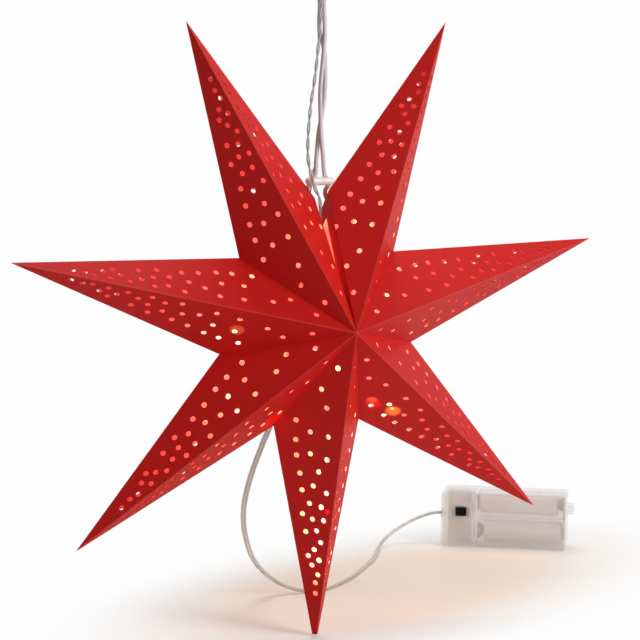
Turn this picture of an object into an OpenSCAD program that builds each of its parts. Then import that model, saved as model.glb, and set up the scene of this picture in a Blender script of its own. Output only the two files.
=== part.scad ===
// Paper star lantern: seven folded and punched card rays, a hanging string with its
// toggle, a string of lights inside, and the battery box that feeds them.
// The origin is where the hanging string hangs, under its crown. Z is up, X runs to
// the right along the star's face, and Y points to the back. Lengths are in mm.

/* [Star] */

// How far the star's centre hangs below the crown of the string
hang_drop = 200; // [150:1:260]

// From the centre to the tip of a ray
ray_len = 180; // [120:1:260]

// From the centre to the notch between two rays
notch_r = 60; // [45:1:80]

// From the front point of the star to the back point
star_depth = 90; // [60:1:120]

// Thickness of the card
card_t = 0.4; // [0.3:0.1:1]

// Width of the glue flaps at the root of a ray
flap_w = 8; // [5:1:12]

// How much of the bottom ray's tip is cut off
tip_cut = 8.5; // [1:0.5:15]

// How far the seam stands open, to the left and to the right of the middle
seam_open = [2, 6.5]; // [0:0.5:10]

// Height of the seam's two corners over the centre
seam_up = [68, 72]; // [60:1:80]

/* [Punched pattern] */

// Width of a punched hole
hole_d = 2.9; // [2:0.1:5]

// How much nearer to the tip the back faces have the pattern
back_shift = 5.5; // [0:0.5:10]

/* [Hanging string] */

// Thickness of the string
string_d = 2.4; // [1.5:0.1:3]

// Width of the hole that the string goes through
string_hole_d = 4; // [3:0.1:5]

// Thickness of the toggle
toggle_d = 5; // [4:0.5:8]

// Length of the toggle
toggle_len = 17; // [12:0.5:24]

// Width of the toggle's two bores
toggle_bore_d = 2.8; // [2.6:0.1:3.2]

// Width of a knot at the end of the string
knot_d = 5.4; // [4:0.2:7]

/* [Lights] */

// Thickness of the twisted pair that carries the lamps
light_wire_d = 2.2; // [1.4:0.1:3]

// Thickness of a lamp
lamp_d = 5; // [3:0.5:6]

// Length of a lamp
lamp_len = 11; // [8:0.5:14]

// Thickness of the sleeve where the lead meets the twisted pair
sleeve_d = 4.6; // [4:0.2:8]

/* [Battery lead] */

// Width of the flat lead
lead_w = 3.4; // [2.5:0.1:5]

// Thickness of the flat lead
lead_t = 1.8; // [1:0.1:2.5]

/* [Battery box] */

// Length of the battery box
box_len = 79; // [70:1:100]

// Height of the battery box as it stands
box_high = 36; // [32:1:45]

// Depth of the battery box
box_deep = 23.5; // [20:0.5:30]

// Thickness of the walls
box_wall = 1.4; // [1:0.1:2]

// Radius of the box's corners
box_round = 2; // [1:0.5:3]

// Length of the closed bay with the switch
bay_len = 21; // [16:1:30]

// Gap around the sliding cover
cover_gap = 0.3; // [0.2:0.1:0.6]

// Width and height of the switch knob
knob = 5.2; // [4:0.1:7]

// How far the switch knob slides
knob_run = 3; // [2:0.5:5]

// Length of a contact spring between its contact and the cell
spring_len = 4.4; // [3:0.1:8]

/* [Hidden] */

$fn = 48;

rays = 7;
half = 180 / rays;
hub_y = star_depth / 2;
crease = norm([hub_y, ray_len]);
lean = atan(hub_y / ray_len);

// Every face has the same 30 holes. A hole lies between the hub, the tip of the ray
// and the notch: per cent of the way to the tip, and per cent of the way to the notch.
PUNCH = [
    [5, 20], [6, 39], [7, 69], [14, 66], [20, 62], [28, 54], [35, 48], [44, 43],
    [52, 35], [62, 27], [67, 20], [75, 12],
    [15, 28], [17, 47], [25, 43], [35, 28], [38, 33], [43, 35], [50, 28], [56, 20],
    [62, 20], [79, 10],
    [26, 21], [34, 18], [46, 13], [49, 18], [55, 12], [62, 12], [68, 11], [73, 10]];

// Route of the hanging string, seen from the star's centre: out of the left ray, up
// through the toggle, around the crown and down again, and into the right ray.
STRING = [
    [-9, 5.7, 59.7], [-6.6, 8.6, 63.2], [-5.3, 9.4, 66.8], [-4.9, 7.6, 70], [-4.9, 3.6, 72.4],
    [-5.1, 0.9, 74.5], [-2.1, -0.3, 79.5], [-0.6, 0.9, 90], [0.9, 1.4, 103], [2.8, 1, 114],
    [3.7, 0, 125], [3.8, 1.3, 147], [2.4, 1.6, 152], [0.6, 0.9, 158], [0, 0, 175],
    [-3, 0, 183], [-5, 0, 191], [-3.6, 0, 198.4], [0, 0, 201.2], [3.6, 0, 198.4],
    [5, 0, 191], [2.9, 0, 175], [3, -0.7, 158], [2.6, -1.3, 152], [2.2, -1.4, 147],
    [0.9, 0, 125], [0.6, -1, 114], [0.8, -1.4, 103], [2.4, -0.9, 90], [3.9, -0.3, 79.5],
    [6.9, 0.9, 74.5], [7.9, 4, 73.6], [8.6, 7.6, 72], [9.3, 9.4, 69.4], [10.4, 9, 66.3],
    [13, 5.9, 63.2]];

// Where the string runs through the toggle, top and bottom, left and right
STRANDS = [[[-2.1, -0.3, 79.5], [-5.1, 0.9, 74.5]], [[3.9, -0.3, 79.5], [6.9, 0.9, 74.5]]];

// Route of the flat lead, from the battery box over the table to the sleeve
LEAD = [
    [185.4, 178.9, -152.7], [181.5, 182, -153.2], [175, 185.4, -155.4], [165.6, 188.4, -159.6],
    [155, 188.6, -164.8], [145.6, 184, -168.8], [137.2, 175, -171.2], [127.6, 161, -171.5],
    [117.4, 148, -171.5], [104, 133.4, -171.5], [84, 113, -171.5], [66, 98.6, -171.5],
    [53, 91.5, -171.5], [43, 90.5, -171.3], [34, 93.6, -169.4], [24, 95.4, -164.4],
    [13, 92, -156], [3, 84, -146], [-6, 73, -134], [-12, 65, -122], [-14.6, 59, -108],
    [-12, 56, -92], [-6, 54.4, -75], [0, 53, -59], [0, 53, -46]];

// Route of the twisted pair: up behind the star, over the crown, down in front and
// through the open seam, then past the lamps from ray to ray.
LIGHT_WIRE = [
    [0, 53, -23.9], [0, 51, -8], [0, 49, 4], [-1.5, 34, 26], [-2.5, 14, 55],
    [-2.2, 7.4, 68], [-1.5, 4.6, 77], [0.6, 3.2, 90], [2.1, 3.7, 103], [3.6, 3.4, 114],
    [3.8, 2.7, 125], [4.8, 3.8, 147], [1.8, 3.8, 158], [2, 3.4, 170], [1.2, 4.5, 183],
    [-0.8, 1, 193], [-2.5, -3.2, 188], [-0.6, -2.8, 178], [-0.5, -2.6, 165], [-1.7, -3, 152],
    [-4.1, -3, 131], [-6.6, -3, 115], [-7.7, -3, 90], [-4.6, -4, 75], [0, -2, 67],
    [1.5, 1, 56], [0, 3, 36],
    [-10, 0, 31], [-24, 0, 23], [-46, 0, 6], [-42, 0, -8], [-46, 0, -26],
    [-48, 0, -42], [-2, -2, -26], [16, -2, -20], [20, 0, 48], [25, 0, 64],
    [34, 0, 56], [31, 0, 24], [50, 0, 21], [48, 0, 6], [36, 0, -12],
    [42, 0, -37], [55, 0, -52], [44, 0, -58], [32, 0, -50], [24, 0, -38],
    [10, 0, -38], [6, 0, -64], [6, -6, -88], [5.5, -6, -114], [3, -2, -140]];

// The stretch of the twisted pair that each lamp sits beside
LAMP_STRETCH = [27, 29, 31, 33, 35, 39, 42, 48, 49, 50];

// The front lower corner of the battery box nearest to the star, and its turn
box_at = [179.3, 168.8, -172.5];
box_turn = -38.5;

knob_at = [9.6, 20.6];
lead_up = 19.8;
board_t = 1.2;
collar = [1.4, 6.4, 5];
cell_d = 14.2;
cell_nub = 1.2;
cell_y = 14.8;
cell_z = [8.8, 27.2];
contact_t = 0.4;
box_right = box_len - box_wall;
left_contact = bay_len + 1 + contact_t;
right_contact = box_right - contact_t;
cell_len = right_contact - left_contact - spring_len - cell_nub;
spring_turns = 1 + ceil((spring_len - 0.8) / 0.75);

function unit(v) = v / norm(v);
function radial(a, r) = [r * sin(a), 0, r * cos(a)];
function swing(p, a) = [p.x * cos(a) - p.z * sin(a), 0, p.x * sin(a) + p.z * cos(a)];

notch = radial(half, notch_r);
other_notch = radial(-half, notch_r);
notch_up = hub_y * sin(lean) + notch.z * cos(lean);
notch_off = sqrt(pow(norm([notch.x, hub_y, notch.z]), 2) - pow(notch_up, 2));

// The point inside a ray that is as far from all four of its faces, and how far
face_z = unit(cross([0, -hub_y, ray_len], notch - [0, hub_y, 0])).z;
inner_z = ray_len * abs(face_z) / (abs(face_z) + sin(half));
inner_r = inner_z * sin(half);

module at_star() {
    translate([0, 0, -hang_drop])
        children();
}

// Children stand at a and point to b
module along(a, b) {
    d = b - a;
    translate(a)
        rotate([0, acos(d.z / norm(d)), atan2(d.y, d.x)])
            children();
}

function way(p, i) = unit(p[min(i + 1, len(p) - 1)] - p[max(i - 1, 0)]);
function level(v, w) = unit(v - (v * w) * w);
function side(p, i, s) = level(i == 0 ? s : side(p, i - 1, s), way(p, i));
function round_section(d) = [for (a = [0:45:315]) [d * cos(a) / 2, d * sin(a) / 2]];
function flat_section(w, t) = [for (c = [[1, 0.4], [0.65, 1], [-0.65, 1], [-1, 0.4],
    [-1, -0.4], [-0.65, -1], [0.65, -1], [1, -0.4]]) [c.x * w / 2, c.y * t / 2]];

// A cord along the route p, with the outline of its section
module cord(p, section, first_side) {
    n = len(section);
    last = len(p) - 1;
    rings = [for (i = [0:last]) let (u = side(p, i, first_side), v = cross(way(p, i), u))
        for (c = section) p[i] + c.x * u + c.y * v];
    walls = [for (i = [0:last - 1]) for (j = [0:n - 1])
        let (a = i * n + j, b = i * n + (j + 1) % n)
            for (f = [[a, b + n, b], [a, a + n, b + n]]) f];
    ends = [[for (j = [0:n - 1]) j], [for (j = [n - 1:-1:0]) last * n + j]];
    polyhedron(rings, concat(walls, ends));
}

// A ray stands on the star's axis and points up. Its corners are the two notches.
module ray_body(right, left) {
    polyhedron(
        [[0, -hub_y, 0], [0, hub_y, 0], [0, 0, ray_len], right, left],
        [[0, 2, 3], [0, 4, 2], [1, 3, 2], [1, 2, 4], [0, 3, 1], [0, 1, 4]]);
}

// The root between the glue flaps, which leads to the next ray
module root_opening(corner) {
    r = norm(corner);
    k = 1 - flap_w * norm([hub_y, r]) / (hub_y * r);
    rotate([0, atan2(corner.x, corner.z) - 90, 0])
        linear_extrude(4 * card_t, center = true)
            polygon([[0, -k * hub_y], [k * r, 0], [0, k * hub_y]]);
}

// The holes of the front face beside the corner, each moved a way towards the tip
module face_holes(corner, shift) {
    up = hub_y * sin(lean) + corner.z * cos(lean);
    off = sqrt(pow(norm([corner.x, hub_y, corner.z]), 2) - pow(up, 2));
    translate([0, -hub_y, 0])
        rotate([-lean, 0, 0])
            rotate([0, 0, acos(abs(corner.x) / off)])
                for (p = PUNCH)
                    translate([0, 0, shift] + [p.y * notch_off, 0, p.x * crease + p.y * notch_up] / 100)
                        rotate([90, 0, 0])
                            cylinder(d = hole_d, h = 6 * card_t, center = true, $fn = 24);
}

module ray(right, left, cut) {
    shrink = 1 - card_t / inner_r;
    difference() {
        ray_body(right, left);
        difference() {
            translate([0, 0, inner_z * (1 - shrink)])
                scale(shrink)
                    ray_body(right, left);
            if (cut > 0)
                translate([-cut, -cut, ray_len - cut - card_t])
                    cube([2 * cut, 2 * cut, cut + card_t]);
        }
        root_opening(right);
        root_opening(left);
        rotate([90, 0, 0])
            cylinder(r = flap_w / 2, h = 2 * (hub_y - flap_w), center = true, $fn = 24);
        for (back = [0, 1])
            mirror([0, back, 0]) {
                face_holes(right, back * back_shift);
                mirror([1, 0, 0])
                    face_holes([-left.x, 0, left.z], back * back_shift);
            }
        if (cut > 0)
            translate([-cut, -cut, ray_len - cut])
                cube([2 * cut, 2 * cut, cut + 1]);
    }
}

module star_ray(k, right, left, cut) {
    at_star()
        rotate([0, (2 * k - 1) * half, 0])
            ray(right, left, cut);
}

// The hole in the card that the string's end goes through
module string_hole(from, to) {
    at_star()
        along(from - 1.5 * unit(to - from), to)
            cylinder(d = string_hole_d, h = 4.4);
}

module ray_1() {
    color("firebrick")
        difference() {
            star_ray(1, notch, swing([seam_open[1], 0, seam_up[1]], half), 0);
            string_hole(STRING[len(STRING) - 2], STRING[len(STRING) - 1]);
        }
}

module ray_7() {
    color("firebrick")
        difference() {
            star_ray(7, swing([-seam_open[0], 0, seam_up[0]], -half), other_notch, 0);
            string_hole(STRING[1], STRING[0]);
        }
}

module full_ray(k) {
    color("firebrick")
        star_ray(k, notch, other_notch, k == 4 ? tip_cut : 0);
}

module hanging_string() {
    color("white")
        at_star()
            cord(STRING, round_section(string_d), [1, 0, 0]);
}

// An overhand knot, as a thick turn around the cord with a bead on each side
module knot(at, from) {
    color("white")
        at_star()
            along(at, 2 * at - from) {
                rotate_extrude()
                    translate([knot_d / 4, 0])
                        circle(d = knot_d / 2, $fn = 32);
                for (z = [-1, 1])
                    translate([0, 0, z * knot_d / 5])
                        sphere(d = 0.7 * knot_d, $fn = 32);
            }
}

module left_knot() {
    knot(STRING[0], STRING[1]);
}

module right_knot() {
    knot(STRING[len(STRING) - 1], STRING[len(STRING) - 2]);
}

module cord_toggle() {
    flat = toggle_len - toggle_d;
    color("white")
        at_star()
            difference() {
                translate([(STRANDS[0][0].x + STRANDS[1][0].x) / 2, 0, (STRANDS[0][0].z + STRANDS[0][1].z) / 2])
                    rotate([0, 90, 0]) {
                        cylinder(d1 = toggle_d - 0.5, d2 = toggle_d, h = flat / 2);
                        mirror([0, 0, 1])
                            cylinder(d1 = toggle_d - 0.5, d2 = toggle_d, h = flat / 2);
                        for (z = [-1, 1])
                            translate([0, 0, z * flat / 2])
                                sphere(d = toggle_d);
                    }
                for (s = STRANDS)
                    along(2 * s[0] - s[1], s[1])
                        cylinder(d = toggle_bore_d, h = 3 * toggle_len / 2);
            }
}

module light_wire() {
    color("gainsboro")
        at_star()
            cord(LIGHT_WIRE, round_section(light_wire_d), [1, 0, 0]);
}

// A lamp sits beside a straight stretch of the twisted pair
module lamp(k) {
    a = LIGHT_WIRE[LAMP_STRETCH[k - 1]];
    b = LIGHT_WIRE[LAMP_STRETCH[k - 1] + 1];
    d = unit(b - a);
    mid = (a + b) / 2 + (light_wire_d + lamp_d + 0.4) / 2 * unit([d.z, 0, -d.x]);
    straight = (lamp_len - lamp_d) / 2;
    color("white")
        at_star()
            along(mid, mid + d) {
                cylinder(d = lamp_d, h = 2 * straight, center = true, $fn = 24);
                for (s = [-1, 1])
                    translate([0, 0, s * straight])
                        sphere(d = lamp_d, $fn = 24);
            }
}

module junction_sleeve() {
    color("whitesmoke")
        at_star()
            translate([0, 53, -45.9])
                cylinder(d = sleeve_d, h = 21.9);
}

module battery_lead() {
    color("gainsboro")
        at_star()
            cord(LEAD, flat_section(lead_w, lead_t), [1, 1, 0]);
}

module at_box() {
    at_star()
        translate(box_at)
            rotate([0, 0, box_turn])
                children();
}

module lead_collar() {
    color("gainsboro")
        at_box()
            translate([-collar[0], (box_deep - collar[1]) / 2, lead_up - collar[2] / 2])
                cube(collar);
}

// The box's outline with its rounded corners, from front to back
module box_outline(front, back) {
    translate([0, back, 0])
        rotate([90, 0, 0])
            linear_extrude(back - front) {
                translate([box_round, 0])
                    square([box_len - 2 * box_round, box_high]);
                translate([0, box_round])
                    square([box_len, box_high - 2 * box_round]);
                for (x = [box_round, box_len - box_round], z = [box_round, box_high - box_round])
                    translate([x, z])
                        circle(r = box_round);
            }
}

// The room for the two cells, less a shelf between them and two cradle ribs behind
module cell_bay() {
    back = box_deep - box_wall;
    difference() {
        translate([bay_len + 1, -1, box_wall + 0.1])
            cube([box_right - bay_len - 1, back + 1, box_high - 2 * box_wall - 0.2]);
        difference() {
            for (x = [left_contact + 13.6, right_contact - 15.2])
                translate([x, cell_y, 0])
                    cube([1.6, box_deep, box_high]);
            for (z = cell_z)
                translate([0, cell_y, z])
                    rotate([0, 90, 0])
                        cylinder(d = cell_d + 0.2, h = box_len);
        }
        translate([bay_len, cell_y, (cell_z[0] + cell_z[1] - 1.4) / 2])
            cube([right_contact - cover_gap - bay_len, box_deep, 1.4]);
    }
}

module battery_case() {
    open_x = bay_len + cover_gap + 0.3;
    color("whitesmoke")
        at_box()
            difference() {
                union() {
                    box_outline(0, box_deep);
                    translate([box_len - 1, 15, 21.5])
                        cube([5, 7.5, 6]);
                }
                translate([box_wall, box_wall, box_wall])
                    cube([bay_len - 2 * box_wall, box_deep - 2 * box_wall, box_high - 2 * box_wall]);
                cell_bay();
                translate([open_x - 0.3, -1, 1.5])
                    cube([box_len, 2.5, box_high - 3]);
                translate([open_x - 0.3, 1.2, 0.8])
                    cube([box_len, 1.6, box_high - 1.6]);
                translate([knob_at[0] - cover_gap, -1, knob_at[1] - cover_gap])
                    cube([knob + knob_run + 2 * cover_gap, 3, knob + 2 * cover_gap]);
            }
}

module battery_cover() {
    x = bay_len + 0.3 + cover_gap;
    color("whitesmoke")
        at_box() {
            translate([x, 0, 1.5 + cover_gap])
                cube([box_len - x, 2.5, box_high - 3 - 2 * cover_gap]);
            translate([x, 1.2 + cover_gap, 0.8 + cover_gap])
                cube([box_len - x, 1, box_high - 1.6 - 2 * cover_gap]);
            translate([box_len - 12.5, -0.7, 1.5 + cover_gap])
                cube([10.5, 1, 4.2]);
        }
}

module switch_slider() {
    color("black")
        at_box()
            translate([knob_at[0], 0, knob_at[1]]) {
                translate([0, -1.3, 0])
                    cube([knob, 3.8, knob]);
                translate([-1, box_wall + 0.3, -0.8])
                    cube([knob + 2, 0.8, knob + 1.6]);
            }
}

module switch_body() {
    color("black")
        at_box()
            translate([knob_at[0] - 3.2, 3.4, knob_at[1] - 1.4])
                cube([knob + knob_run + 4.6, (box_deep - board_t) / 2 - 3.4, knob + 2.8]);
}

module circuit_board() {
    color("seagreen")
        at_box()
            translate([3, (box_deep - board_t) / 2, box_wall])
                cube([15, board_t, box_high - 2 * box_wall]);
}

module cell(z, turned) {
    color("lightgray")
        at_box()
            translate([turned ? right_contact - spring_len : left_contact + spring_len, cell_y, z])
                rotate([0, turned ? -90 : 90, 0]) {
                    cylinder(d = cell_d, h = cell_len);
                    translate([0, 0, cell_len])
                        cylinder(d = 5.4, h = cell_nub);
                }
}

module cell_1() {
    cell(cell_z[0], false);
}

module cell_2() {
    cell(cell_z[1], true);
}

module contact_link() {
    color("silver")
        at_box()
            translate([right_contact, cell_y - 5, cell_z[0] - 4.8])
                cube([contact_t, 10, cell_z[1] - cell_z[0] + 9.6]);
}

module end_contact(z) {
    color("silver")
        at_box()
            translate([bay_len + 1, cell_y - 5, z - 5])
                cube([contact_t, 10, 10]);
}

module contact_low() {
    end_contact(cell_z[0]);
}

module contact_high() {
    end_contact(cell_z[1]);
}

// A contact spring, as rings that narrow towards the cell
module spring(x, z, to_right) {
    pitch = (spring_len - 0.8) / (spring_turns - 1);
    color("silver")
        at_box()
            translate([x, cell_y, z])
                rotate([0, to_right ? 90 : -90, 0])
                    for (i = [0:spring_turns - 1])
                        translate([0, 0, 0.4 + pitch * i])
                            rotate_extrude($fn = 32)
                                translate([4 - 1.5 * i / (spring_turns - 1), 0])
                                    circle(d = 0.8, $fn = 16);
}

module spring_low() {
    spring(left_contact, cell_z[0], true);
}

module spring_high() {
    spring(right_contact, cell_z[1], false);
}

// The lead's end inside the bay, which meets the edge of the board
module lead_end() {
    color("gainsboro")
        at_box()
            for (y = [-1, 1])
                translate([box_wall, box_deep / 2 + 0.5 * y, lead_up])
                    rotate([0, 90, 0])
                        cylinder(d = 1.2, h = 3 - box_wall, $fn = 16);
}

for (k = [2:6])
    full_ray(k);
ray_1();
ray_7();
hanging_string();
left_knot();
right_knot();
cord_toggle();
light_wire();
for (k = [1:10])
    lamp(k);
junction_sleeve();
battery_lead();
lead_collar();
battery_case();
battery_cover();
switch_slider();
switch_body();
circuit_board();
cell_1();
cell_2();
contact_link();
contact_low();
contact_high();
spring_low();
spring_high();
lead_end();
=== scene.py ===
"""Looks of the paper star lantern: punched red card lit from inside, braided string,
clear leads and a milky battery box, on a pale table in front of a white backdrop."""
import math

import bpy
import numpy as np
from mathutils import Matrix, Vector


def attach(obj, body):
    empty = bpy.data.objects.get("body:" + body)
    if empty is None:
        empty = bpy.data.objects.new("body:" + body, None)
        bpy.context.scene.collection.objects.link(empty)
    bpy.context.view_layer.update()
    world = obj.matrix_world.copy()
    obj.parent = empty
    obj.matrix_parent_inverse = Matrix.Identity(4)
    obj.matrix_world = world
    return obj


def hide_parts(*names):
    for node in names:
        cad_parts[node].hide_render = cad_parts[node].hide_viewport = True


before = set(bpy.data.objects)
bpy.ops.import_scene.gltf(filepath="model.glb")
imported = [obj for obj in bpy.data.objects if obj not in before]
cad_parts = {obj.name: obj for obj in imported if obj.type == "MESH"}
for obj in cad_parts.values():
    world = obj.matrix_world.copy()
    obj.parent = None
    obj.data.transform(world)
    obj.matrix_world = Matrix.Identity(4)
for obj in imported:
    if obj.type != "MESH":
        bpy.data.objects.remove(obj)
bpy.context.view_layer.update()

# Sizes of the star in mm, as in the part's source
RAYS = 7
TIP_REACH = 180
HUB_DEPTH = 45
LAMP_ASIDE = 3.8

# Places in metres, in the row frame
MM = 0.001
HANG_DROP = 0.2
TABLE_Z = -0.3725
CAMERA_PLACE = (-0.6199, -1.1815, -0.0334)

# The camera's turns in degrees, and its lens and sensor in mm
CAMERA_TILT, CAMERA_TURN, CAMERA_ROLL = 7.25, 27.7, 0.46
LENS, SENSOR = 140, 36


def row(points):
    """Points in mm from the star's centre, as metres in the row frame."""
    return np.array(points, float) * MM - [0, 0, HANG_DROP]


def ray_angle(k):
    """The angle of ray k from straight up, clockwise as the front is seen."""
    return math.radians((2 * k - 1) * 180 / RAYS)


# Camera

def turn(axis, degrees):
    return Matrix.Rotation(math.radians(degrees), 3, axis)


def place_camera():
    """The rows of view are the camera's right, forward and up directions."""
    view = turn("X", CAMERA_TILT) @ turn("Z", CAMERA_TURN) @ turn("Y", CAMERA_ROLL)
    right, forward, up = view
    data = bpy.data.cameras.new("camera")
    data.lens, data.sensor_width = LENS, SENSOR
    data.clip_start, data.clip_end = 0.05, 30
    camera = bpy.data.objects.new("camera", data)
    turned = Matrix((right, up, -forward)).transposed()
    camera.matrix_world = Matrix.Translation(CAMERA_PLACE) @ turned.to_4x4()
    bpy.context.scene.collection.objects.link(camera)
    bpy.context.scene.camera = camera


place_camera()


# Routes of the cords, in mm from the star's centre, as in the part's source

STRING = [
    [-9, 5.7, 59.7], [-6.6, 8.6, 63.2], [-5.3, 9.4, 66.8], [-4.9, 7.6, 70], [-4.9, 3.6, 72.4],
    [-5.1, 0.9, 74.5], [-2.1, -0.3, 79.5], [-0.6, 0.9, 90], [0.9, 1.4, 103], [2.8, 1, 114],
    [3.7, 0, 125], [3.8, 1.3, 147], [2.4, 1.6, 152], [0.6, 0.9, 158], [0, 0, 175],
    [-3, 0, 183], [-5, 0, 191], [-3.6, 0, 198.4], [0, 0, 201.2], [3.6, 0, 198.4],
    [5, 0, 191], [2.9, 0, 175], [3, -0.7, 158], [2.6, -1.3, 152], [2.2, -1.4, 147],
    [0.9, 0, 125], [0.6, -1, 114], [0.8, -1.4, 103], [2.4, -0.9, 90], [3.9, -0.3, 79.5],
    [6.9, 0.9, 74.5], [7.9, 4, 73.6], [8.6, 7.6, 72], [9.3, 9.4, 69.4], [10.4, 9, 66.3],
    [13, 5.9, 63.2]]

LEAD = [
    [185.4, 178.9, -152.7], [181.5, 182, -153.2], [175, 185.4, -155.4], [165.6, 188.4, -159.6],
    [155, 188.6, -164.8], [145.6, 184, -168.8], [137.2, 175, -171.2], [127.6, 161, -171.5],
    [117.4, 148, -171.5], [104, 133.4, -171.5], [84, 113, -171.5], [66, 98.6, -171.5],
    [53, 91.5, -171.5], [43, 90.5, -171.3], [34, 93.6, -169.4], [24, 95.4, -164.4],
    [13, 92, -156], [3, 84, -146], [-6, 73, -134], [-12, 65, -122], [-14.6, 59, -108],
    [-12, 56, -92], [-6, 54.4, -75], [0, 53, -59], [0, 53, -46]]

LIGHT_WIRE = [
    [0, 53, -23.9], [0, 51, -8], [0, 49, 4], [-1.5, 34, 26], [-2.5, 14, 55],
    [-2.2, 7.4, 68], [-1.5, 4.6, 77], [0.6, 3.2, 90], [2.1, 3.7, 103], [3.6, 3.4, 114],
    [3.8, 2.7, 125], [4.8, 3.8, 147], [1.8, 3.8, 158], [2, 3.4, 170], [1.2, 4.5, 183],
    [-0.8, 1, 193], [-2.5, -3.2, 188], [-0.6, -2.8, 178], [-0.5, -2.6, 165], [-1.7, -3, 152],
    [-4.1, -3, 131], [-6.6, -3, 115], [-7.7, -3, 90], [-4.6, -4, 75], [0, -2, 67],
    [1.5, 1, 56], [0, 3, 36],
    [-10, 0, 31], [-24, 0, 23], [-46, 0, 6], [-42, 0, -8], [-46, 0, -26],
    [-48, 0, -42], [-2, -2, -26], [16, -2, -20], [20, 0, 48], [25, 0, 64],
    [34, 0, 56], [31, 0, 24], [50, 0, 21], [48, 0, 6], [36, 0, -12],
    [42, 0, -37], [55, 0, -52], [44, 0, -58], [32, 0, -50], [24, 0, -38],
    [10, 0, -38], [6, 0, -64], [6, -6, -88], [5.5, -6, -114], [3, -2, -140]]

# The lamps hang beside the stretches of the light wire that begin at these points.
LAMP_STRETCH = [27, 29, 31, 33, 35, 39, 42, 48, 49, 50]
LAMP_NODES = ["lamp_%d" % k for k in range(1, len(LAMP_STRETCH) + 1)]


def smooth(points, step):
    """A Catmull-Rom line through the points, with its knots spaced by the square root of
    the distance between neighbours, sampled evenly at about step."""
    p = np.asarray(points, float)
    p = np.vstack([2 * p[0] - p[1], p, 2 * p[-1] - p[-2]])
    fine = []
    for i in range(1, len(p) - 2):
        gaps = np.sqrt(np.linalg.norm(np.diff(p[i - 1:i + 3], axis=0), axis=1))
        t0, t1, t2, t3 = np.concatenate([[0], np.cumsum(gaps)])
        t = np.linspace(t1, t2, 24, endpoint=False)[:, None]
        a1 = (t1 - t) / (t1 - t0) * p[i - 1] + (t - t0) / (t1 - t0) * p[i]
        a2 = (t2 - t) / (t2 - t1) * p[i] + (t - t1) / (t2 - t1) * p[i + 1]
        a3 = (t3 - t) / (t3 - t2) * p[i + 1] + (t - t2) / (t3 - t2) * p[i + 2]
        b1 = (t2 - t) / (t2 - t0) * a1 + (t - t0) / (t2 - t0) * a2
        b2 = (t3 - t) / (t3 - t1) * a2 + (t - t1) / (t3 - t1) * a3
        fine.append((t2 - t) / (t2 - t1) * b1 + (t - t1) / (t2 - t1) * b2)
    fine = np.vstack(fine + [p[-2:-1]])
    along = np.concatenate([[0], np.cumsum(np.linalg.norm(np.diff(fine, axis=0), axis=1))])
    s = np.linspace(0, along[-1], max(8, int(along[-1] / step)))
    return np.stack([np.interp(s, along, fine[:, k]) for k in range(3)], 1)


def length_of(line):
    """The sum of the distances between neighbouring points."""
    return float(np.linalg.norm(np.diff(line, axis=0), axis=1).sum())


def run_along(line):
    """The distance from the line's start to each of its points, evenly shared out."""
    return np.linspace(0, length_of(line), len(line))


def frames(line, first):
    """Two sideways directions at each point: the first is the one before it with its share
    along the line taken out, so it turns as little as possible."""
    way = np.gradient(line, axis=0)
    way /= np.linalg.norm(way, axis=1)[:, None]
    side = np.zeros_like(way)
    u = np.array(first, float)
    for i, w in enumerate(way):
        u = u - (u @ w) * w
        u /= np.linalg.norm(u)
        side[i] = u
    return side, np.cross(way, side)


# Meshes

def make_mesh(name, verts, faces, material, smooth_shaded=True):
    """A mesh object. faces is a list of arrays, each with faces of one size."""
    mesh = bpy.data.meshes.new(name)
    mesh.from_pydata(verts.tolist(), [], sum((part.tolist() for part in faces), []))
    mesh.validate()
    mesh.polygons.foreach_set("use_smooth", [smooth_shaded] * len(mesh.polygons))
    mesh.materials.append(material)
    obj = bpy.data.objects.new(name, mesh)
    bpy.context.scene.collection.objects.link(obj)
    return obj


def tube(line, section, first=(1, 0, 0)):
    """A section carried along the line: each point is the line's point plus the section's
    two offsets along the two sideways directions there. Flat faces close both ends."""
    u, v = frames(line, first)
    n, k = section.shape[-2], len(line)
    verts = line[:, None] + section[..., :1] * u[:, None] + section[..., 1:] * v[:, None]
    i, j = np.meshgrid(np.arange(k - 1), np.arange(n), indexing="ij")
    a, b = i * n + j, i * n + (j + 1) % n
    quads = np.stack([a, b, b + n, a + n], -1).reshape(-1, 4)
    ends = np.array([np.arange(n)[::-1], np.arange((k - 1) * n, k * n)])
    return verts.reshape(-1, 3), [quads, ends]


def merge(tubes):
    """Several tubes as one: the faces of each are moved on by the points before it."""
    starts = np.cumsum([0] + [len(verts) for verts, _ in tubes])
    faces = [part + start for (_, parts), start in zip(tubes, starts) for part in parts]
    return np.vstack([verts for verts, _ in tubes]), faces


def ring(radius, points):
    """A circle: the radius times the cosine and the sine of evenly spaced angles."""
    a = np.linspace(0, 2 * math.pi, points, endpoint=False)
    return radius * np.stack([np.cos(a), np.sin(a)], 1)


# Materials

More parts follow.
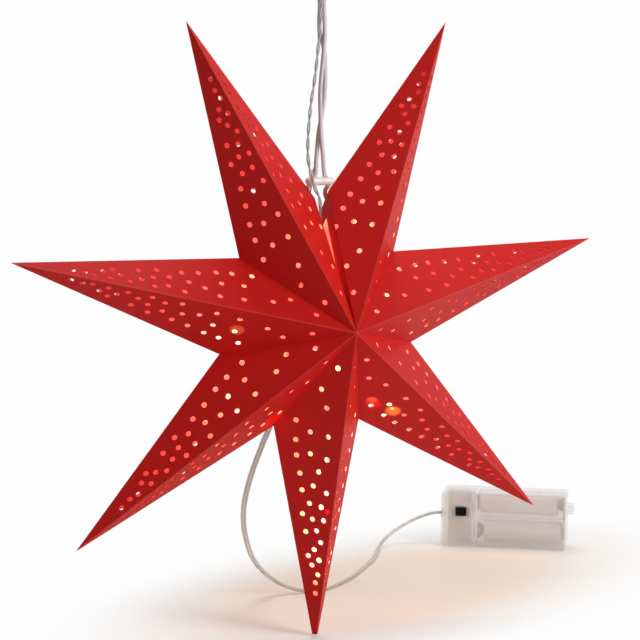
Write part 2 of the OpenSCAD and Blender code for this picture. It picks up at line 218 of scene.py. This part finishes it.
class Value:
    """A node's output. Sums and products of Values and numbers add their Math nodes."""

    def __init__(self, nodes, socket):
        self.nodes, self.socket = nodes, socket

    def math(self, operation, *operands):
        return self.nodes.add("Math", {"operation": operation}, dict(enumerate(operands)))

    def __add__(self, other):
        return self.math("ADD", self, other)

    def __radd__(self, other):
        return self.math("ADD", other, self)

    def __sub__(self, other):
        return self.math("SUBTRACT", self, other)

    def __rsub__(self, other):
        return self.math("SUBTRACT", other, self)

    def __mul__(self, other):
        return self.math("MULTIPLY", self, other)

    def __rmul__(self, other):
        return self.math("MULTIPLY", other, self)

    def __truediv__(self, other):
        return self.math("DIVIDE", self, other)

    def __rtruediv__(self, other):
        return self.math("DIVIDE", other, self)

    def __pow__(self, other):
        return self.math("POWER", self, other)

    def sine(self):
        return self.math("SINE", self)

    def least(self, other):
        return self.math("MINIMUM", self, other)

    def most(self, other):
        return self.math("MAXIMUM", self, other)

    def clamp(self):
        return self.least(1.0).most(0.0)

    def ramp(self, low, high):
        """0 below low, 1 above high, and smooth in between."""
        return self.nodes.add("MapRange", {"interpolation_type": "SMOOTHSTEP"},
                              {"Value": self, "From Min": low, "From Max": high}, "Result")


class Nodes:
    """A node tree to which nodes are added."""

    def __init__(self, tree):
        self.tree = tree

    def plug(self, socket, value):
        """Gives a socket a Value's link, a number, a vector or a colour."""
        if isinstance(value, Value):
            self.tree.links.new(value.socket, socket)
        elif socket.type == "RGBA":
            socket.default_value = (*value, 1)
        else:
            socket.default_value = value

    def add(self, kind, settings, sockets, out=0):
        """A new node. Its settings are set first, then its sockets by name or number."""
        node = self.tree.nodes.new("ShaderNode" + kind)
        for name, value in settings.items():
            setattr(node, name, value)
        for key, value in sockets.items():
            self.plug(node.inputs[key], value)
        return Value(self, node.outputs[out])


class Paint:
    """A material whose Principled inputs are set by name."""

    def __init__(self, name, **inputs):
        self.material = bpy.data.materials.new(name)
        self.material.use_nodes = True
        self.nodes = Nodes(self.material.node_tree)
        self.shader = self.material.node_tree.nodes["Principled BSDF"]
        self.where = self.nodes.add("TexCoord", {}, {}, "Object")
        self.set(**inputs)

    def set(self, **inputs):
        for name, value in inputs.items():
            self.nodes.plug(self.shader.inputs[name.replace("_", " ")], value)

    def vector(self, operation, *operands, out="Vector"):
        return self.nodes.add("VectorMath", {"operation": operation},
                              dict(enumerate(operands)), out)

    def distance(self, point):
        return self.vector("DISTANCE", self.where, tuple(point), out="Value")

    def axis(self, which):
        return self.nodes.add("SeparateXYZ", {}, {0: self.where}, which)

    def noise(self, scale, detail):
        return self.nodes.add("TexNoise", {},
                              {"Vector": self.where, "Scale": scale, "Detail": detail})

    def mix(self, share, low, high):
        return self.nodes.add("Mix", {"data_type": "RGBA"}, {0: share, 6: low, 7: high}, 2)

    def colour(self, red, green, blue):
        return self.nodes.add("CombineColor", {}, {0: red, 1: green, 2: blue})

    def bump(self, height, distance):
        return self.nodes.add("Bump", {}, {"Height": height, "Distance": distance})


def lamp_places():
    """The middle of each lamp, beside its stretch of the light wire."""
    wire = np.array(LIGHT_WIRE, float)
    places = []
    for k in LAMP_STRETCH:
        x, _, z = wire[k + 1] - wire[k]
        aside = np.array([z, 0, -x]) / math.hypot(x, z)
        places.append(row((wire[k] + wire[k + 1]) / 2 + LAMP_ASIDE * aside))
    return places


LAMPS = lamp_places()

# Where a lamp lies against the card and shows through: its place and radius in mm, its colour
SPOTS = [
    ([39.8, -13.8, -48.5], 4.6, (0.90, 0.20, 0.03)),
    ([38.9, -14.3, -46.4], 1.6, (1.0, 0.75, 0.30)),
    ([26.5, -14.1, -41.5], 3.0, (0.60, 0.09, 0.02)),
    ([27.0, -14.6, -46.0], 6.0, (0.55, 0.0, 0.0)),
    ([-56.6, -17.7, 1.6], 4.4, (0.34, 0.07, 0.02)),
    ([-2.2, -17.3, -100.2], 1.8, (0.70, 0.0, 0.03)),
    ([-30.0, -9.0, -52.0], 9.0, (0.35, 0.0, 0.0))]

RED_CARD = (0.58, 0.011, 0.0085)
# Colour added along the folds: a painted highlight where light would catch a rounded fold
FOLD_HIGHLIGHT = (0.06, 0.045, 0.04)
LAMP_LIGHT_THROUGH = 0.011
LAMP_LIGHT_INSIDE = 0.030


def light_at(paint, reach):
    """The sum over the lamps of 1 over the square of the distance, counted in reaches. What
    is added to the square keeps the light at a lamp's own middle within bounds."""
    softening = 0.02
    nears = [paint.distance(lamp) / reach for lamp in LAMPS]
    return sum(1 / (near * near + softening) for near in nears)


def from_fold(paint):
    """The distance to the nearest front fold, which runs from the hub to a ray's tip: the
    length of the cross product of the way from the hub with the fold's direction."""
    from_hub = paint.vector("SUBTRACT", paint.where, tuple(row([0, -HUB_DEPTH, 0])))
    nearest = None
    for k in range(1, RAYS + 1):
        a = ray_angle(k)
        fold = Vector((TIP_REACH * math.sin(a), HUB_DEPTH, TIP_REACH * math.cos(a)))
        off = paint.vector("CROSS_PRODUCT", from_hub, tuple(fold.normalized()))
        off = paint.vector("LENGTH", off, out="Value")
        nearest = off if nearest is None else nearest.least(off)
    return nearest


def card_outside():
    """Red card with a fine grain and a painted highlight along its folds. Lamps that touch it glow
    through, painted into its emission.
    """
    p = Paint("card outside", Roughness=0.55, Specular_IOR_Level=0.16)
    grain = p.noise(scale=2600, detail=4)
    cloud = p.noise(scale=38, detail=2)
    shade = (cloud - 0.5) * 0.10 + (grain - 0.5) * 0.12 + 1.0
    # Painted highlight: the card is made paler near each front fold, where light would catch a
    # rounded crease
    fold_highlight = 1 - from_fold(p).ramp(low=0.00012, high=0.0006)
    p.set(Base_Color=p.colour(*[shade * card + fold_highlight * highlight for card, highlight in zip(RED_CARD, FOLD_HIGHLIGHT)]))
    # Painted glow: the lamps' light through the card is painted into the emission colour
    glow = (light_at(p, LAMP_LIGHT_THROUGH) * 0.03).clamp()
    shine = [glow, glow * glow * 0.12, glow * 0.002]
    for place, radius, tint in SPOTS:
        near = 1 - p.distance(row(place)).ramp(radius * 0.5 * MM, radius * 1.15 * MM)
        shine = [value + near * share for value, share in zip(shine, tint)]
    p.set(Emission_Color=p.colour(*shine), Emission_Strength=1.0)
    p.set(Normal=p.bump(grain, distance=0.00006))
    return p.material


def card_inside():
    """The card's lit side: dark red far from the lamps, and yellow to white near them."""
    p = Paint("card inside", Base_Color=(0.55, 0.10, 0.085), Roughness=0.8,
              Specular_IOR_Level=0.2)
    light = light_at(p, LAMP_LIGHT_INSIDE)
    flare = light * light * light
    red = light * 0.38 + 0.13
    green = light * 0.030 + flare * 0.013 + 0.014
    blue = light * 0.042 + flare * 0.004 + 0.014
    p.set(Emission_Color=p.colour(red.clamp(), green.clamp(), blue.clamp()),
          Emission_Strength=1.0)
    return p.material


def braid_white():
    """White yarn with painted shade in the small gaps of a braid: the product of two sine waves.
    """
    p = Paint("white braid", Roughness=0.8)
    radians_per_metre = 4600
    upward = (p.axis(2) * radians_per_metre).sine()
    sideways = ((p.axis(0) * 0.9 - p.axis(1) * 0.45) * radians_per_metre).sine()
    unshaded_yarn = (upward * sideways).ramp(low=-0.55, high=0.35)
    # The darker colour is painted shade in the gaps where the yarns cross
    p.set(Base_Color=p.mix(unshaded_yarn, (0.50, 0.43, 0.47), (0.90, 0.85, 0.87)))
    return p.material


def plain(name, colour, roughness, **others):
    return Paint(name, Base_Color=colour, Roughness=roughness, **others).material


CARD = card_outside()
CARD_INSIDE = card_inside()
WHITE_BRAID = braid_white()
TOGGLE = plain("toggle", (0.86, 0.84, 0.83), 0.4, Coat_Weight=0.2)
CLEAR = plain("clear lead", (0.80, 0.78, 0.76), 0.12, Alpha=0.5)
THIN_CLEAR = plain("clear wire", (0.70, 0.72, 0.72), 0.1, Alpha=0.4)
THIN_CORE = plain("wire core", (0.26, 0.27, 0.27), 0.35, Metallic=0.7)
CORE = plain("lead core", (0.50, 0.48, 0.46), 0.3, Metallic=0.9)
SLEEVE = plain("sleeve", (0.8, 0.79, 0.77), 0.5)
MILKY = plain("milky plastic", (0.96, 0.93, 0.91), 0.22, Alpha=0.34)
BLACK = plain("black plastic", (0.004, 0.004, 0.004), 0.6, Specular_IOR_Level=0.1)
GREY = plain("grey plastic", (0.78, 0.75, 0.72), 0.45)
BOARD = plain("board", (0.84, 0.82, 0.78), 0.5)
CELL = plain("cell", (0.98, 0.95, 0.95), 0.35)
METAL = plain("contact metal", (0.30, 0.28, 0.26), 0.4, Metallic=0.8)
LAMP = plain("lamp", (1.0, 0.86, 0.6), 0.2,
             Emission_Color=(1.0, 0.62, 0.22), Emission_Strength=6.0)


# Star and battery box

def paint_ray(k):
    """A face that looks towards its ray's middle line gets the card's inner material, in which the
    lamps' light is painted in as emission.
    """
    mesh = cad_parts["ray_%d" % k].data
    mesh.materials.clear()
    mesh.materials.append(CARD)
    mesh.materials.append(CARD_INSIDE)
    spine = np.array([math.sin(ray_angle(k)), 0, math.cos(ray_angle(k))])
    count = len(mesh.polygons)
    centre, normal = np.zeros(count * 3), np.zeros(count * 3)
    mesh.polygons.foreach_get("center", centre)
    mesh.polygons.foreach_get("normal", normal)
    centre = centre.reshape(-1, 3) - row([0, 0, 0])
    away = centre - (centre @ spine)[:, None] * spine
    inward = (away * normal.reshape(-1, 3)).sum(1) < 0
    mesh.polygons.foreach_set("material_index", inward.astype(int).tolist())
    mesh.polygons.foreach_set("use_smooth", [False] * count)
    mesh.update()


def dress(material, *nodes):
    for name in nodes:
        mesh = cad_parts[name].data
        mesh.materials.clear()
        mesh.materials.append(material)


for number in range(1, RAYS + 1):
    paint_ray(number)

dress(LAMP, *LAMP_NODES)
dress(WHITE_BRAID, "left_knot", "right_knot")
dress(TOGGLE, "cord_toggle")
dress(SLEEVE, "junction_sleeve")
dress(MILKY, "battery_case", "battery_cover")
dress(BLACK, "switch_slider")
dress(GREY, "switch_body")
dress(BOARD, "circuit_board")
dress(CELL, "cell_1", "cell_2")
dress(METAL, "contact_link", "contact_low", "contact_high", "spring_low", "spring_high")
dress(CLEAR, "lead_collar", "lead_end")


# Cords, with their sizes in metres

BRAID_CORE, BRAID_RISE = 0.00072, 0.00048
BRAID_YARNS = 3
BRAID_CROSSING = 0.0014
PAIR_PITCH = 0.017
PAIR_RADIUS, PAIR_CORE = 0.00055, 0.00030
LEAD_SPREAD = 0.0008
LEAD_RADIUS, LEAD_CORE = 0.0009, 0.00032


def braided_string():
    """The radius rises over each yarn as the 0.6th power of a sine. Two sets of yarns wind
    round in opposite senses, and each lies on top in every other cell of their crossings."""
    line = smooth(row(STRING), step=0.00028)
    angle = np.linspace(0, 2 * math.pi, 28, endpoint=False)[None]
    climb = run_along(line)[:, None] * math.pi / BRAID_CROSSING
    left, right = BRAID_YARNS * angle + climb, BRAID_YARNS * angle - climb
    over = (np.floor(left / math.pi) + np.floor(right / math.pi)) % 2 < 1
    height = np.where(over, np.abs(np.sin(left)), np.abs(np.sin(right))) ** 0.6
    radius = BRAID_CORE + BRAID_RISE * height
    section = np.stack([radius * np.cos(angle), radius * np.sin(angle)], -1)
    obj = make_mesh("braided_string", *tube(line, section), WHITE_BRAID)
    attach(obj, "root")
    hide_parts("hanging_string")
    coarse = smooth(row(STRING), step=0.004)


def twisted_pair():
    """Two round wires whose middles circle the route once in each pitch, half a turn apart."""
    line = smooth(row(LIGHT_WIRE), step=0.0014)
    u, v = frames(line, (1, 0, 0))
    wires, cores = [], []
    for start in (0, math.pi):
        spin = (run_along(line) * 2 * math.pi / PAIR_PITCH + start)[:, None]
        centre = line + PAIR_RADIUS * (np.cos(spin) * u + np.sin(spin) * v)
        wires.append(tube(centre, ring(PAIR_RADIUS, points=10)))
        cores.append(tube(centre, ring(PAIR_CORE, points=6)))
    obj = make_mesh("twisted_pair", *merge(wires), THIN_CLEAR)
    core = make_mesh("twisted_cores", *merge(cores), THIN_CORE)
    for piece in (obj, core):
        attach(piece, "root")
    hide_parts("light_wire")
    coarse = smooth(row(LIGHT_WIRE), step=0.006)


def flat_lead():
    """Two arcs side by side, joined by a waist, carried along the route, with a core in each."""
    line = smooth(row(LEAD), step=0.002)
    a = np.radians([0, 35, 70, 105, 140])
    arc = np.stack([LEAD_SPREAD + LEAD_RADIUS * np.cos(a), LEAD_RADIUS * np.sin(a)], 1)
    outline = np.vstack([arc, arc[::-1] * [-1, 1], -arc[1:], (arc[::-1] * [1, -1])[:-1]])
    across = (1, 1, 0)
    obj = make_mesh("flat_lead", *tube(line, outline, across), CLEAR)
    u, _ = frames(line, across)
    core_ring = ring(LEAD_CORE, points=8)
    cores = [tube(line + x * u, core_ring) for x in (-LEAD_SPREAD, LEAD_SPREAD)]
    core = make_mesh("lead_cores", *merge(cores), CORE)
    for piece in (obj, core):
        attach(piece, "root")
    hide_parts("battery_lead")
    coarse = smooth(row(LEAD), step=0.008)


braided_string()
twisted_pair()
flat_lead()


# Table, backdrop and lamps of the room

WHITE = (0.985, 0.985, 0.985)
WARM_WHITE = (1, 0.97, 0.94)
TABLE_REACH = 6

# The painted warm reflection of the red star on the table: its long direction, and its middle
# along it and across it
WARM_REFLECTION_WAY = (0.92, 0.39)
WARM_REFLECTION_ALONG, WARM_REFLECTION_ACROSS = 0.1206, -0.0412


def camera_only(nodes, lit, seen):
    """Mixes two shaders: seen is what the camera, a mirror or clear plastic shows of it."""
    share = sum(nodes.add("LightPath", {}, {}, ray) for ray in
                ("Is Camera Ray", "Is Glossy Ray", "Is Transmission Ray"))
    return nodes.add("MixShader", {}, {0: share.clamp(), 1: lit, 2: seen})


def table():
    """A white table with a painted warm reflection of the red star, which fades out over an
    ellipse twice as long as wide.
    """
    p = Paint("table", Roughness=0.5, Specular_IOR_Level=0.1)
    x, y = p.axis(0), p.axis(1)
    along = x * WARM_REFLECTION_WAY[0] + y * WARM_REFLECTION_WAY[1] - WARM_REFLECTION_ALONG
    across = x * WARM_REFLECTION_WAY[1] - y * WARM_REFLECTION_WAY[0] - WARM_REFLECTION_ACROSS
    pale = ((across * across + along * along * 0.25) ** 0.5).ramp(low=0.045, high=0.135)
    # The cream colour near the middle is painted warm light reflected from the red star
    p.set(Base_Color=p.mix(pale, (0.98, 0.845, 0.725), (0.97, 0.95, 0.93)))
    lit = Value(p.nodes, p.shader.outputs[0])
    white = p.nodes.add("Emission", {}, {"Color": WHITE})
    seen = p.nodes.add("MixShader", {}, {0: pale, 1: lit, 2: white})
    output = p.material.node_tree.nodes["Material Output"]
    p.nodes.plug(output.inputs["Surface"], camera_only(p.nodes, lit, seen))
    square = np.array([[-1, -1], [1, -1], [1, 1], [-1, 1]]) * TABLE_REACH
    corners = np.column_stack([square, [TABLE_Z] * 4])
    make_mesh("table", corners, [np.array([[0, 1, 2, 3]])], p.material, False)


def lamp_light(name, place, aim, size, power):
    """A square, slightly warm lamp at place, turned towards aim."""
    data = bpy.data.lights.new(name, "AREA")
    data.size, data.energy, data.color = size, power, WARM_WHITE
    obj = bpy.data.objects.new(name, data)
    turned = (Vector(aim) - Vector(place)).to_track_quat("-Z", "Y").to_matrix()
    obj.matrix_world = Matrix.Translation(place) @ turned.to_4x4()
    bpy.context.scene.collection.objects.link(obj)


def backdrop():
    """A world that looks white to the camera and lights the object only weakly."""
    world = bpy.data.worlds.new("backdrop")
    bpy.context.scene.world = world
    world.use_nodes = True
    nodes = Nodes(world.node_tree)
    seen = nodes.add("Background", {}, {"Color": WHITE})
    lit = nodes.add("Background", {}, {"Color": (1, 0.985, 0.97), "Strength": 0.155})
    output = world.node_tree.nodes["World Output"]
    nodes.plug(output.inputs["Surface"], camera_only(nodes, lit, seen))


table()
backdrop()
lamp_light("key", place=(0.46, -0.82, 0.27), aim=(0.04, 0, -0.2), size=0.45, power=6.7)
lamp_light("top", place=(0.15, 0.45, 0.9), aim=(0.1, 0.05, -0.3), size=0.8, power=8)
bpy.context.scene.view_settings.view_transform = "Standard"
